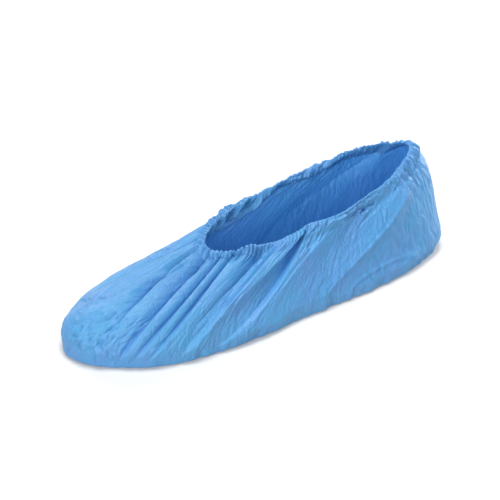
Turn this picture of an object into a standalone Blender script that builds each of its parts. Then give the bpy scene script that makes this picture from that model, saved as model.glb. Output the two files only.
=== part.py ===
"""A disposable shoe cover: a bag of thin plastic film, drawn together round its
opening by an elastic band in a gathered casing, in the form that a shoe gives it.

Metres, +Z up. The origin is in the middle of the sole, on the film's inner face, where
the shoe's sole presses. The toe points to -X and the heel to +X.
A place round the cover is a turn: 0 is the middle of the heel, 0.5 the tip of the toe,
0 to 0.5 the +Y side and 0.5 to 1 the -Y side. A place up the film is a rise: 0 is the
edge of the sole and 1 is the rim of the opening.
"""

import math

import bmesh
import bpy
import numpy as np

# ---- driving sizes; heights are from the floor that the sole stands on ----------------
NAME = "shoe_cover"
LENGTH = 0.330
WALL = 0.001
SOLE_CORNER = 0.005
SOLE_BEND = -0.0064
SOLE_SKEW = 0.006

OPENING_FRONT_X = -0.048
OPENING_BACK_X = 0.1425

# The sole's outline, from the tip of the toe (-1) to the back of the heel (+1).
SOLE_TABLE = (
    # along, half_width
    (-1.00, 0.050),
    (-0.75, 0.0595),
    (-0.42, 0.0555),
    (0.10, 0.046),
    (0.62, 0.045),
    (1.00, 0.0435),
)
TOE_ROUNDNESS = 2.4
HEEL_ROUNDNESS = 2.8
OUTLINE_POINTS = 1440

# The rim of the opening, from its front (-1) over the instep to its back (+1).
RIM_TABLE = (
    # along, half_width, height
    (-1.00, 0.028, 0.057),
    (-0.50, 0.0315, 0.066),
    (0.00, 0.0325, 0.071),
    (0.50, 0.0305, 0.079),
    (1.00, 0.028, 0.088),
)
RIM_ROUNDNESS = 2.2

# How each column of the film leaves the sole and meets the rim: it rises and swells out
# from the sole's edge, and comes to the rim from outside it and from below.
FILM_TABLE = {
    # where: rise_of_wall, swell_of_wall, reach_out_of_rim, drop_below_rim
    "toe": (0.045, 0.0065, 0.056, 0.019),
    "side": (0.028, 0.005, 0.007, 0.015),
    "heel": (0.029, 0.0045, 0.016, 0.008),
}
# The toe's and the heel's rows hold where the outline faces forward and back. The higher
# this number, the sooner they give way to the side's row.
END_BLEND = 1.5

# ---- the folds: each runs up from the sole towards the rim -----------------------------
# A fold with a depth below zero is a ridge that stands out of the film.
FOLD_FADE_IN = 0.25
FOLD_FADE_OUT = 0.15
FOLD_FULL_BELOW_RIM = 0.022
FOLD_GONE_BELOW_RIM = 0.009
# A fold's shoulders stand out of the film by this share of its depth, and are twice as wide.
FOLD_SHOULDER = 0.4
FOLDS = (
    # turn_at_sole, turn_at_rim, depth, half_width, from_rise, to_rise
    # the side that faces -Y, from the toe to the heel
    (0.553, 0.500, 0.0036, 0.0048, 0.10, 0.97),
    (0.570, 0.532, 0.0040, 0.0048, 0.10, 0.97),
    (0.596, 0.558, 0.0032, 0.0045, 0.25, 0.97),
    (0.615, 0.604, 0.0046, 0.0065, 0.12, 0.97),
    (0.680, 0.680, 0.0060, 0.0090, 0.08, 0.97),
    (0.725, 0.760, -0.0030, 0.0080, 0.15, 0.94),
    (0.792, 0.830, 0.0022, 0.0090, 0.15, 0.96),
    (0.765, 0.985, -0.0033, 0.0070, 0.12, 0.94),
    (0.895, 0.955, 0.0028, 0.0090, 0.20, 0.92),
    # the side that faces +Y, from the toe to the heel
    (0.450, 0.478, 0.0035, 0.0050, 0.15, 0.97),
    (0.425, 0.450, 0.0045, 0.0055, 0.10, 0.97),
    (0.398, 0.425, 0.0035, 0.0055, 0.15, 0.97),
    (0.375, 0.388, 0.0050, 0.0080, 0.10, 0.97),
    (0.335, 0.330, 0.0045, 0.0090, 0.10, 0.97),
    (0.290, 0.250, -0.0030, 0.0080, 0.15, 0.95),
    (0.230, 0.190, 0.0030, 0.0090, 0.20, 0.96),
    (0.215, 0.080, -0.0030, 0.0070, 0.15, 0.94),
    (0.120, 0.040, 0.0025, 0.0080, 0.20, 0.94),
)

# ---- gathers, casing and elastic ----------------------------------------------------------
COLUMNS_IN_A_GATHER = 4
GATHER_DEPTH = 0.0009
GATHER_FULL = 0.012
GATHER_END = 0.040
CASING_SECTION = (
    # out, below_rim
    (-0.0026, 0.0100),
    (-0.0030, 0.0025),
    (0.0000, 0.0005),
    (0.0030, 0.0025),
    (0.0026, 0.0100),
)
FILM_BELOW_CASING = 0.0130
FILM_BELOW_RIM = 0.0075
ELASTIC_BELOW_RIM = 0.0046
ELASTIC_WIDTH = 0.0025
ELASTIC_THICKNESS = 0.0006

# ---- mesh ------------------------------------------------------------------------------------
COLUMNS = 120
ROWS = 11
CORNER_ROWS = 2
TOE_DENSITY = 1.3
TOE_DENSITY_SPREAD = 0.17
SLOPE_STEP = 0.002

FILM_BLUE = (0.13, 0.38, 0.72, 1.0)
CASING_BLUE = (0.11, 0.34, 0.70, 1.0)
ELASTIC_WHITE = (0.75, 0.76, 0.74, 1.0)


def smooth(table, at):
    """The table's other columns at the places given, on smooth curves through its rows."""
    rows = np.array(table)
    x, y = rows[:, 0], rows[:, 1:]
    slope = np.gradient(y, x, axis=0)
    i = np.clip(np.searchsorted(x, at) - 1, 0, len(x) - 2)
    step = (x[i + 1] - x[i])[:, None]
    t = (at - x[i])[:, None] / step
    start = y[i] * (1 + 2 * t) * (1 - t) ** 2 + slope[i] * step * t * (1 - t) ** 2
    end = y[i + 1] * t * t * (3 - 2 * t) + slope[i + 1] * step * t * t * (t - 1)
    return start + end


def oval(back, front, half_width, front_roundness, back_roundness):
    """A closed outline in plan, as (along, its points), with its own roundness at each end."""
    angle = 2 * math.pi * np.arange(OUTLINE_POINTS) / OUTLINE_POINTS
    along = np.cos(angle)
    roundness = np.where(along < 0, front_roundness, back_roundness)
    end = np.clip(1 - np.abs(along) ** roundness, 0, None) ** (1 / roundness)
    x = (back + front) / 2 + (back - front) / 2 * along
    y = np.sign(np.sin(angle)) * end * half_width(along)
    return along, np.stack([x, y, np.zeros(OUTLINE_POINTS)], axis=1)


def bent(loop, skew=0.0):
    """The outline bent sideways as a foot bends, and leant over by the skew."""
    along = loop[:, :1] / (LENGTH / 2)
    return loop + (SOLE_BEND * (1 - along**2) - skew * along) * (0, 1, 0)


def sole_loop():
    _, loop = oval(
        LENGTH / 2,
        -LENGTH / 2,
        lambda s: smooth(SOLE_TABLE, s)[:, 0],
        TOE_ROUNDNESS,
        HEEL_ROUNDNESS,
    )
    return bent(loop, SOLE_SKEW) + (0, 0, SOLE_CORNER)


def rim_loop():
    along, loop = oval(
        OPENING_BACK_X,
        OPENING_FRONT_X,
        lambda s: smooth(RIM_TABLE, s)[:, 0],
        RIM_ROUNDNESS,
        RIM_ROUNDNESS,
    )
    height = smooth(RIM_TABLE, along)[:, 1:]
    return bent(loop) + height * (0, 0, 1)


def walk(loop, turns):
    """Points at these shares of the way round a closed loop."""
    closed = np.vstack([loop, loop[:1]])
    run = np.concatenate([[0], np.cumsum(np.linalg.norm(np.diff(closed, axis=0), axis=1))])
    at = np.mod(turns, 1) * run[-1]
    return np.stack([np.interp(at, run, closed[:, k]) for k in range(3)], axis=1)


def unit(vectors):
    return vectors / (np.linalg.norm(vectors, axis=-1, keepdims=True) + 1e-9)


SOLE = sole_loop()
RIM = rim_loop()


def plan_normal(turns):
    """The level direction that points out of the sole's outline."""
    tangent = walk(SOLE, turns + SLOPE_STEP) - walk(SOLE, turns - SLOPE_STEP)
    return unit(np.stack([tangent[:, 1], -tangent[:, 0], np.zeros(len(turns))], axis=1))


def smooth_film(turns, rises):
    """The film without folds: rises has a row of values for each ring of the film."""
    foot, rim, out = walk(SOLE, turns), walk(RIM, turns), plan_normal(turns)
    toe = np.clip(-out[:, :1], 0, 1) ** END_BLEND
    heel = np.clip(out[:, :1], 0, 1) ** END_BLEND
    rows = {where: np.array(row) for where, row in FILM_TABLE.items()}
    mixed = toe * rows["toe"] + heel * rows["heel"] + (1 - toe - heel) * rows["side"]
    rise, swell, reach, drop = (mixed[:, k : k + 1] for k in range(4))
    away = (foot - rim) * (1, 1, 0)
    above_foot = foot + out * swell + rise * (0, 0, 1)
    below_rim = rim + unit(away) * reach - drop * (0, 0, 1)
    v = rises[:, :, None]
    return (
        (1 - v) ** 3 * foot
        + 3 * (1 - v) ** 2 * v * above_foot
        + 3 * (1 - v) * v**2 * below_rim
        + v**3 * rim
    )


def normals(turns, rises):
    """The outward normals of the smooth film, and its speed per unit of rise."""
    across = smooth_film(turns + SLOPE_STEP, rises) - smooth_film(turns - SLOPE_STEP, rises)
    up = smooth_film(turns, rises) - smooth_film(turns, rises - SLOPE_STEP)
    return unit(np.cross(across, up)), np.linalg.norm(up, axis=-1) / SLOPE_STEP


def distance_below_rim(turns, rises):
    """How far below the rim each place on the film is, along the film."""
    _, speed = normals(turns, np.ones((1, len(turns))))
    return (1 - rises) * speed


def ease(x):
    x = np.clip(x, 0, 1)
    return x * x * (3 - 2 * x)


def fold_height(turns, rises):
    """How far the folds push the film out, in metres. A fold's floor is below the film."""
    height = np.zeros(rises.shape)
    round_sole = np.linalg.norm(np.diff(SOLE, axis=0), axis=1).sum()
    round_rim = np.linalg.norm(np.diff(RIM, axis=0), axis=1).sum()
    girth = round_sole + (round_rim - round_sole) * rises
    casing = (distance_below_rim(turns, rises) - FOLD_GONE_BELOW_RIM) / (
        FOLD_FULL_BELOW_RIM - FOLD_GONE_BELOW_RIM
    )
    for at_sole, at_rim, depth, half_width, start, end in FOLDS:
        middle = at_sole + (at_rim - at_sole) * rises
        off = (np.mod(turns - middle + 0.5, 1) - 0.5) * girth / half_width
        reach = ease((rises - start) / FOLD_FADE_IN) * ease((end - rises) / FOLD_FADE_OUT)
        section = np.exp(-(off**2)) - FOLD_SHOULDER * np.exp(-((off / 2) ** 2))
        height -= depth * reach * section
    return height * ease(casing)


def crowding():
    """(turns, the share of the columns before each): the columns crowd round the toe."""
    turns = np.linspace(0, 1, OUTLINE_POINTS + 1)
    crowd = 1 + TOE_DENSITY * np.exp(-(((turns - 0.5) / TOE_DENSITY_SPREAD) ** 2))
    run = np.concatenate([[0], np.cumsum((crowd[1:] + crowd[:-1]) / 2)])
    return turns, run / run[-1]


def column_turns():
    turns, share = crowding()
    return np.interp(np.arange(COLUMNS) / COLUMNS, share, turns)


def gather_height(turns, rises):
    """The small waves that the elastic draws the film into, which fade below the rim."""
    distance = distance_below_rim(turns, rises)
    share = np.interp(np.mod(turns, 1), *crowding())
    wave = np.sin(2 * math.pi * share * COLUMNS / COLUMNS_IN_A_GATHER)
    return GATHER_DEPTH * wave * ease((GATHER_END - distance) / (GATHER_END - GATHER_FULL))


def film(turns, rises, out=0.0):
    """Points on the folded and gathered film, or this far outside it."""
    normal, _ = normals(turns, rises)
    height = fold_height(turns, rises) + gather_height(turns, rises) + out
    return smooth_film(turns, rises) + normal * height[:, :, None]


def below_rim(turns, distances):
    """The rises that lie these distances below the rim, a row for each distance."""
    _, speed = normals(turns, np.ones((1, len(turns))))
    return 1 - np.array(distances)[:, None] / speed


def loft(bm, rings):
    """Joins closed rings of points with quads, and returns their vertices."""
    made = [[bm.verts.new(point) for point in ring] for ring in rings]
    for lower, upper in zip(made, made[1:]):
        for i in range(len(lower)):
            j = (i + 1) % len(lower)
            bm.faces.new((lower[i], lower[j], upper[j], upper[i]))
    return made


def close_sole(bm, ring):
    """Fills the flat sole with strips from one side to the other."""
    half = len(ring) // 2
    for i in range(half):
        corners = (ring[i], ring[-i], ring[-i - 1], ring[i + 1])
        bm.faces.new(dict.fromkeys(corners))


def shell(name, bm, thickness, offset, material, collection):
    """A named object from an open surface, thickened by Solidify."""
    mesh = bpy.data.meshes.new(name)
    bm.to_mesh(mesh)
    bm.free()
    mesh.shade_smooth()
    obj = bpy.data.objects.new(name, mesh)
    obj.data.materials.append(material)
    obj.location.z = -WALL
    collection.objects.link(obj)
    wall = obj.modifiers.new("wall", "SOLIDIFY")
    wall.thickness = thickness
    wall.offset = offset
    return obj


def plastic(name, colour, roughness):
    material = bpy.data.materials.new(name)
    material.use_nodes = True
    shader = material.node_tree.nodes["Principled BSDF"]
    shader.inputs["Base Color"].default_value = colour
    shader.inputs["Roughness"].default_value = roughness
    shader.inputs["Metallic"].default_value = 0.0
    return material


def film_body(collection):
    """The bag: a flat sole, a rounded corner, and walls that end inside the casing."""
    turns = column_turns()
    rises = np.linspace(0, 1, ROWS)[:, None] * below_rim(turns, [FILM_BELOW_CASING])
    rises = np.vstack([rises, below_rim(turns, [FILM_BELOW_RIM])])
    foot, out = walk(SOLE, turns), plan_normal(turns)
    corner = []
    for angle in np.linspace(0, math.pi / 2, CORNER_ROWS + 1)[:-1]:
        inset = SOLE_CORNER * (1 - math.sin(angle))
        lift = SOLE_CORNER * math.cos(angle)
        corner.append(foot - out * inset - lift * np.array((0, 0, 1)))
    bm = bmesh.new()
    rings = loft(bm, corner + list(film(turns, rises)))
    close_sole(bm, rings[0])
    blue = plastic("film_plastic", FILM_BLUE, 0.45)
    return shell("film_body", bm, WALL, -1, blue, collection)


def hem_casing(collection):
    """The film folded over round the opening: two legs and a crown, open below."""
    turns = column_turns()
    outs, distances = zip(*CASING_SECTION)
    rises = below_rim(turns, distances)
    rings = film(turns, rises, out=np.array(outs)[:, None] - WALL / 2)
    bm = bmesh.new()
    loft(bm, list(rings))
    blue = plastic("casing_plastic", CASING_BLUE, 0.45)
    return shell("hem_casing", bm, WALL, 0, blue, collection)


def elastic_band(collection):
    """A flat closed loop of elastic that lies in the casing, above the film's edge."""
    turns = column_turns()[:: COLUMNS_IN_A_GATHER // 2]
    half = ELASTIC_WIDTH / 2
    rises = below_rim(turns, [ELASTIC_BELOW_RIM + half, ELASTIC_BELOW_RIM - half])
    normal, _ = normals(turns, rises)
    bm = bmesh.new()
    loft(bm, list(smooth_film(turns, rises) - normal * WALL / 2))
    white = plastic("elastic_rubber", ELASTIC_WHITE, 0.7)
    return shell("elastic_band", bm, ELASTIC_THICKNESS, 0, white, collection)


def main():
    for obj in list(bpy.data.objects):
        bpy.data.objects.remove(obj, do_unlink=True)
    collection = bpy.data.collections.new(NAME)
    bpy.context.scene.collection.children.link(collection)
    film_body(collection)
    hem_casing(collection)
    elastic_band(collection)


main()
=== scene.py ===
# %% [markdown]
# # A disposable shoe cover, folded and gathered
# The real cover is a flat bag of thin blue plastic film, with an elastic in a hem round
# its mouth. Pulled over a shoe, the film is far too wide for the opening, so the spare
# film lies in folds that fan out from the rim over the toe, and runs in long slanting
# folds along the sides. This script dresses the plain frame in that film: one fine open
# sheet for the bag, a ruffled hem, and the elastic inside the hem.
#
# The frame comes in first and stays as it is. Everything is in metres, +Z up, with the
# toe towards -X. Where a table says mm, MM turns its numbers into metres.

import math

import bpy
import numpy as np
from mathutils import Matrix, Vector


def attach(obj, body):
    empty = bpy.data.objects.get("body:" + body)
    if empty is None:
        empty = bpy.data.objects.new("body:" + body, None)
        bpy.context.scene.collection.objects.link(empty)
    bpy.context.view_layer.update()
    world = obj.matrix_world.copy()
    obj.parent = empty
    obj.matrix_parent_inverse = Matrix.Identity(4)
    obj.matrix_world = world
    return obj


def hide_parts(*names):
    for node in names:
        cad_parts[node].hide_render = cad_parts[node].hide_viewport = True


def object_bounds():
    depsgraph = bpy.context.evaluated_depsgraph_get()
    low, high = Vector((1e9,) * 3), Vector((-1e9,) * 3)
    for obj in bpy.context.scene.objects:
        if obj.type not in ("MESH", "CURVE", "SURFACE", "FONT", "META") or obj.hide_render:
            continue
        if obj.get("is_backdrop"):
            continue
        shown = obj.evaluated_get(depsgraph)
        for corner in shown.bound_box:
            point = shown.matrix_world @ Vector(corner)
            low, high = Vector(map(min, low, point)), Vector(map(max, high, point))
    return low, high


MM = 0.001

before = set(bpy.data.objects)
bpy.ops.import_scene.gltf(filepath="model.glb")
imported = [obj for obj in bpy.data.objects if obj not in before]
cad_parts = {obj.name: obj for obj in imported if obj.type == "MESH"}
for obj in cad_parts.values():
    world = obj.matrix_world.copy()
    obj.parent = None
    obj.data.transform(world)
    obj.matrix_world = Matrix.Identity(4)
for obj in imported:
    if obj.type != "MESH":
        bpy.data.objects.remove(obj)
cad_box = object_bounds()
print("frame nodes:", ", ".join(sorted(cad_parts)))

# %% [markdown]
# ## The form under the folds
# A shoe gives the bag its form, so two outlines say nearly everything: the edge of the
# sole and the rim of the mouth. Each is an oval with its own roundness at the two ends.
# They repeat the frame's sizes, and the film is a curved wall between them. The form
# could also be sculpted, but every later step asks for the film's place and direction
# somewhere, and a formula answers that.
#
# A place round the cover is a *turn*: 0 is the middle of the heel, 0.5 the tip of the
# toe, and 0.5 to 1 the side that faces -Y. A place up the film is a *rise*, from 0 at the
# sole to 1 at the rim. Folds, pleats and wrinkles are all drawn in these two numbers.

# %% Sizes of the sole and the rim
LENGTH = 0.330
WALL = 0.001
SOLE_CORNER = 0.005
SOLE_BEND = -0.0064
SOLE_SKEW = 0.006
OPENING_FRONT_X = -0.048
OPENING_BACK_X = 0.1425
SOLE_TABLE = (
    # along, half_width
    (-1.00, 0.050),
    (-0.75, 0.0595),
    (-0.42, 0.0555),
    (0.10, 0.046),
    (0.62, 0.045),
    (1.00, 0.0435),
)
TOE_ROUNDNESS = 2.4
HEEL_ROUNDNESS = 2.8
RIM_TABLE = (
    # along, half_width, height
    (-1.00, 0.028, 0.057),
    (-0.50, 0.0315, 0.066),
    (0.00, 0.0325, 0.071),
    (0.50, 0.0305, 0.079),
    (1.00, 0.028, 0.088),
)
RIM_ROUNDNESS = 2.2
OUTLINE_POINTS = 1440
mouth = OPENING_BACK_X - OPENING_FRONT_X
print(f"the sole is {LENGTH / MM:.0f} mm long, the mouth {mouth / MM:.0f} mm")


# %% Smooth curves
def ease(x):
    """From 0 to 1 with a soft start and a soft end."""
    x = np.clip(x, 0, 1)
    return x * x * (3 - 2 * x)


def bell(x):
    return np.exp(-(x**2))


def unit(vectors):
    return vectors / (np.linalg.norm(vectors, axis=-1, keepdims=True) + 1e-9)


def hermite(start, end, leave, arrive, t):
    """From start to end while t goes from 0 to 1, with these slopes at the two ends."""
    return (
        start * (1 + 2 * t) * (1 - t) ** 2
        + end * t * t * (3 - 2 * t)
        + leave * t * (1 - t) ** 2
        + arrive * t * t * (t - 1)
    )


def smooth(table, at):
    """The table's other columns at the places given, on smooth curves through its rows."""
    rows = np.array(table, float)
    x, y = rows[:, 0], rows[:, 1:]
    slope = np.gradient(y, x, axis=0)
    i = np.clip(np.searchsorted(x, at) - 1, 0, len(x) - 2)
    step = (x[i + 1] - x[i])[..., None]
    t = (at - x[i])[..., None] / step
    return hermite(y[i], y[i + 1], slope[i] * step, slope[i + 1] * step, t)


# %% Outlines
def oval(back, front, table, front_roundness, back_roundness):
    """A closed outline in plan, as wide as the table says, and the table's last column."""
    angle = 2 * math.pi * np.arange(OUTLINE_POINTS) / OUTLINE_POINTS
    along = np.cos(angle)
    columns = smooth(table, along)
    roundness = np.where(along < 0, front_roundness, back_roundness)
    end = np.clip(1 - np.abs(along) ** roundness, 0, None) ** (1 / roundness)
    x = (back + front) / 2 + (back - front) / 2 * along
    y = np.sign(np.sin(angle)) * end * columns[:, 0]
    return np.stack([x, y, np.zeros(OUTLINE_POINTS)], axis=1), columns[:, -1:]


def bent(line, skew=0.0):
    """The line bent sideways as a foot bends, and leant over by the skew."""
    along = line[:, :1] / (LENGTH / 2)
    return line + (SOLE_BEND * (1 - along**2) - skew * along) * (0, 1, 0)


def walk(loop, turns):
    """Points at these shares of the way round a closed loop."""
    closed = np.vstack([loop, loop[:1]])
    steps = np.linalg.norm(np.diff(closed, axis=0), axis=1)
    run = np.concatenate([[0], np.cumsum(steps)])
    at = np.mod(turns, 1) * run[-1]
    return np.stack([np.interp(at, run, closed[:, k]) for k in range(3)], axis=1)


def girth(loop):
    return np.linalg.norm(loop - np.roll(loop, 1, axis=0), axis=1).sum()


# %% The sole's edge and the rim
sole_plan, _ = oval(LENGTH / 2, -LENGTH / 2, SOLE_TABLE, TOE_ROUNDNESS, HEEL_ROUNDNESS)
SOLE = bent(sole_plan, SOLE_SKEW) + (0, 0, SOLE_CORNER - WALL)
ends = (OPENING_BACK_X, OPENING_FRONT_X)
rim_plan, rim_height = oval(*ends, RIM_TABLE, RIM_ROUNDNESS, RIM_ROUNDNESS)
RIM = bent(rim_plan) + (rim_height - WALL) * (0, 0, 1)
SOLE_GIRTH = girth(SOLE)
RIM_GIRTH = girth(RIM)
print(f"round the sole {SOLE_GIRTH:.3f} m, round the rim {RIM_GIRTH:.3f} m")

# %% The wall between them
WALL_TABLE = {
    # where: rise_of_wall, swell_of_wall, reach_out_of_rim, drop_below_rim
    "toe": (0.045, 0.0065, 0.056, 0.019),
    "side": (0.028, 0.005, 0.007, 0.015),
    "heel": (0.029, 0.0045, 0.016, 0.008),
}
END_BLEND = 1.5
SLOPE_STEP = 0.002


def plan_normal(turns):
    """The level direction that points out of the sole's outline."""
    tangent = walk(SOLE, turns + SLOPE_STEP) - walk(SOLE, turns - SLOPE_STEP)
    return unit(np.stack([tangent[:, 1], -tangent[:, 0], np.zeros(len(turns))], axis=1))


def smooth_film(turns, rises):
    """The film without folds: rises has a row of values for each ring of the film."""
    foot, rim, out = walk(SOLE, turns), walk(RIM, turns), plan_normal(turns)
    toe = np.clip(-out[:, :1], 0, 1) ** END_BLEND
    heel = np.clip(out[:, :1], 0, 1) ** END_BLEND
    rows = {where: np.array(row) for where, row in WALL_TABLE.items()}
    mixed = toe * rows["toe"] + heel * rows["heel"] + (1 - toe - heel) * rows["side"]
    rise, swell, reach, drop = (mixed[:, k : k + 1] for k in range(4))
    above_foot = foot + out * swell + rise * (0, 0, 1)
    under_rim = rim + unit((foot - rim) * (1, 1, 0)) * reach - drop * (0, 0, 1)
    v = rises[:, :, None]
    return (
        (1 - v) ** 3 * foot
        + 3 * (1 - v) ** 2 * v * above_foot
        + 3 * (1 - v) * v**2 * under_rim
        + v**3 * rim
    )


def normals(turns, rises):
    """The outward normals of the smooth film, and its metres for each unit of rise."""
    ahead, behind = (smooth_film(turns + way * SLOPE_STEP, rises) for way in (1, -1))
    up = smooth_film(turns, rises) - smooth_film(turns, rises - SLOPE_STEP)
    return unit(np.cross(ahead - behind, up)), np.linalg.norm(up, axis=-1) / SLOPE_STEP


# %% Distances on the film
def rim_speed(turns):
    """Metres of film for one unit of rise, at the rim."""
    return normals(turns, np.ones((1, len(turns))))[1]


def rises_below_rim(turns, distances):
    """The rises that lie these distances below the rim, a row for each distance."""
    return 1 - np.array(distances)[:, None] / rim_speed(turns)


def below_rim(turns, rises):
    """How far places lie below the rim, in metres of film."""
    return (1 - rises) * rim_speed(turns)


def girth_at(rises):
    """About how many metres of film there are round the cover at these rises."""
    return SOLE_GIRTH + (RIM_GIRTH - SOLE_GIRTH) * rises


def past(turns, turn):
    """How far places lie past this turn, from -0.5 to 0.5."""
    return np.mod(turns - turn + 0.5, 1) - 0.5


at_heel, at_toe = rim_speed(np.array([0.0, 0.5]))[0]
print(f"a whole rise is {at_heel:.3f} m of film at the heel and {at_toe:.3f} m at the toe")

# %% [markdown]
# ## The big folds
# On the real cover the spare film stands up in ridges with narrow valleys between them.
# A cloth simulation could make them, but it would put them where chance has it. Here
# they are drawn: each ridge and each valley is a line from the sole to the rim, with its
# own height, and the film is stretched between neighbouring lines. Where a line is crisp
# the film arrives at a slope, which makes a crease. Where it is soft the film arrives
# level, which makes a round fold.

# %% Ridge and valley lines
FOLD_LINES = (
    # turn at rise 0, 1/3, 2/3 and 1, height in mm at the same rises, then how crisp the
    # line is before it and after it
    # the far side, from the heel to the toe
    (0.000, 0.000, 0.000, 0.000, 0.0, 2.2, 3.6, 1.2, 0.0, 0.0),
    (0.088, 0.085, 0.062, 0.018, 0.0, -1.6, -1.4, -0.6, 0.2, 0.2),
    (0.195, 0.168, 0.085, 0.045, 0.2, 2.2, 2.0, 0.5, 0.8, 0.3),
    (0.210, 0.200, 0.183, 0.155, 0.0, -1.2, -1.8, -1.0, 0.1, 0.1),
    (0.282, 0.268, 0.252, 0.232, 0.2, 1.5, 2.0, 0.8, 0.3, 0.3),
    (0.338, 0.320, 0.312, 0.300, -0.2, -3.6, -6.5, -6.5, 0.6, 0.8),
    (0.370, 0.352, 0.338, 0.325, 0.3, 2.0, 2.2, 1.0, 0.6, 0.1),
    (0.388, 0.380, 0.368, 0.350, -0.3, -2.6, -5.0, -5.5, 0.4, 0.9),
    (0.398, 0.391, 0.386, 0.372, 0.3, 1.3, 1.8, 1.0, 0.2, 0.1),
    (0.409, 0.401, 0.403, 0.395, -0.2, -2.8, -5.0, -5.0, 1.0, 1.0),
    (0.421, 0.413, 0.416, 0.409, 0.3, 0.9, 1.3, 0.9, 0.2, 0.2),
    (0.434, 0.426, 0.430, 0.424, -0.4, -2.8, -5.0, -5.0, 1.1, 1.1),
    (0.446, 0.438, 0.441, 0.437, 0.3, 0.9, 1.3, 0.9, 0.2, 0.2),
    (0.462, 0.456, 0.453, 0.450, -0.2, -1.2, -2.6, -4.0, 0.8, 1.0),
    # over the toe
    (0.480, 0.472, 0.464, 0.462, 0.0, 0.4, 0.7, 0.9, 0.1, 0.2),
    (0.492, 0.488, 0.481, 0.473, 0.0, -1.4, -1.8, -3.0, 0.5, 0.6),
    (0.507, 0.514, 0.4955, 0.474, 0.0, 0.6, 1.6, 1.2, 0.3, 0.1),
    (0.524, 0.5295, 0.5110, 0.484, 0.0, -1.8, -6.6, -13.0, 0.7, 1.1),
    # the side that faces -Y, from the toe to the heel
    (0.528, 0.5325, 0.5140, 0.487, 0.2, 0.8, 1.0, 0.8, 0.6, 0.0),
    (0.549, 0.5565, 0.5385, 0.508, -0.6, -3.8, -6.5, -12.5, 1.3, 1.1),
    (0.552, 0.5595, 0.542, 0.512, 0.3, 1.2, 1.2, 0.8, 0.6, 0.0),
    (0.563, 0.5745, 0.559, 0.528, -0.6, -3.2, -4.8, -6.0, 1.3, 1.1),
    (0.566, 0.577, 0.562, 0.532, 0.3, 1.2, 1.2, 0.8, 0.6, 0.0),
    (0.578, 0.590, 0.575, 0.550, -0.3, -2.7, -4.2, -6.5, 1.3, 1.1),
    (0.581, 0.5925, 0.578, 0.555, 0.3, 1.4, 1.4, 1.0, 0.6, 0.1),
    (0.600, 0.613, 0.612, 0.605, -0.3, -2.1, -5.4, -12.0, 1.2, 0.5),
    (0.606, 0.6225, 0.6205, 0.609, -0.4, -2.4, -4.4, -8.0, 0.5, 0.0),
    (0.611, 0.633, 0.632, 0.634, 0.3, 2.0, 1.6, 0.8, 0.7, 0.4),
    (0.632, 0.640, 0.664, 0.6785, 0.1, 1.4, 0.6, 0.5, 0.3, 1.4),
    (0.645, 0.697, 0.694, 0.6835, -0.2, -4.2, -7.4, -9.0, 0.0, 0.9),
    (0.650, 0.702, 0.698, 0.687, 0.3, 0.2, -0.8, -0.8, 0.5, 0.3),
    (0.690, 0.712, 0.730, 0.754, 0.4, 1.1, 1.2, 0.8, 0.2, 0.0),
    (0.765, 0.775, 0.785, 0.825, 0.0, -0.6, -2.4, -1.2, 0.1, 0.3),
    (0.782, 0.830, 0.912, 0.965, 0.2, 3.0, 2.6, -1.6, 1.0, 1.1),
    (0.794, 0.843, 0.923, 0.980, 0.0, 0.2, 0.4, -0.6, 0.6, 0.2),
    (0.905, 0.905, 0.938, 0.992, 0.0, -2.4, -1.8, -1.0, 0.0, 0.1),
)
CLOSED_LINES = FOLD_LINES + FOLD_LINES[:1]
print(f"{len(FOLD_LINES)} fold lines")


# %% The place between two lines
def along_rise(values, rises):
    """A smooth curve through four values, at rises 0, 1/3, 2/3 and 1."""
    a, b, c, d = values
    v = rises * 3
    return (
        -a * (v - 1) * (v - 2) * (v - 3) / 6
        + b * v * (v - 2) * (v - 3) / 2
        - c * v * (v - 1) * (v - 3) / 2
        + d * v * (v - 1) * (v - 2) / 6
    )


def line_turns(rises):
    """The turns of the lines at these rises, and the first one again, a turn later."""
    turns = np.stack([along_rise(line[:4], rises) for line in CLOSED_LINES])
    turns[-1] += 1
    return turns


def line_heights(rises):
    """The heights of the lines at these rises, in metres, and the first one again."""
    return MM * np.stack([along_rise(line[4:8], rises) for line in CLOSED_LINES])


def pick(layers, which):
    """The value of one line at each place, from a stack with a layer for each line."""
    return np.take_along_axis(layers, which[None], 0)[0]


def between_lines(turns, rises):
    """The fold line before each place, and the share of the way to the next one."""
    lines = line_turns(rises)
    at = np.mod(turns, 1) + 0 * rises
    before = np.clip((lines <= at).sum(axis=0) - 1, 0, len(FOLD_LINES) - 1)
    here, there = pick(lines, before), pick(lines, before + 1)
    return before, (at - here) / (there - here)


levels = np.linspace(0, 1, 40)[:, None]
gaps = np.diff(line_turns(levels), axis=0) * girth_at(levels) / MM
print(f"the lines lie {gaps.min():.1f} to {gaps.max():.1f} mm apart")

# %% The folds' height, and how the film runs between them
CRISP_SLOPE = 2.1
KEPT_AT_RIM = 0.2
HEM_HOLDS = 0.008
ROOM_STEP = 0.0008


def fold_height(turns, rises):
    """How far the folds lift the film, in metres."""
    before, share = between_lines(turns, rises)
    heights = line_heights(rises)
    low, high = pick(heights, before), pick(heights, before + 1)
    crisp_to, crisp_from = CRISP_SLOPE * np.array([line[8:] for line in CLOSED_LINES]).T
    leave = crisp_from[before] * (high - low)
    arrive = crisp_to[before + 1] * (high - low)
    free = KEPT_AT_RIM + (1 - KEPT_AT_RIM) * ease(below_rim(turns, rises) / HEM_HOLDS)
    return hermite(low, high, leave, arrive, share) * free


def flow(turns, rises):
    """The turn at which a fibre of the film through each place reaches the rim."""
    before, share = between_lines(turns, rises)
    ends = np.array([line[3] for line in FOLD_LINES] + [FOLD_LINES[0][3] + 1])
    return ends[before] + (ends[before + 1] - ends[before]) * share


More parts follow.
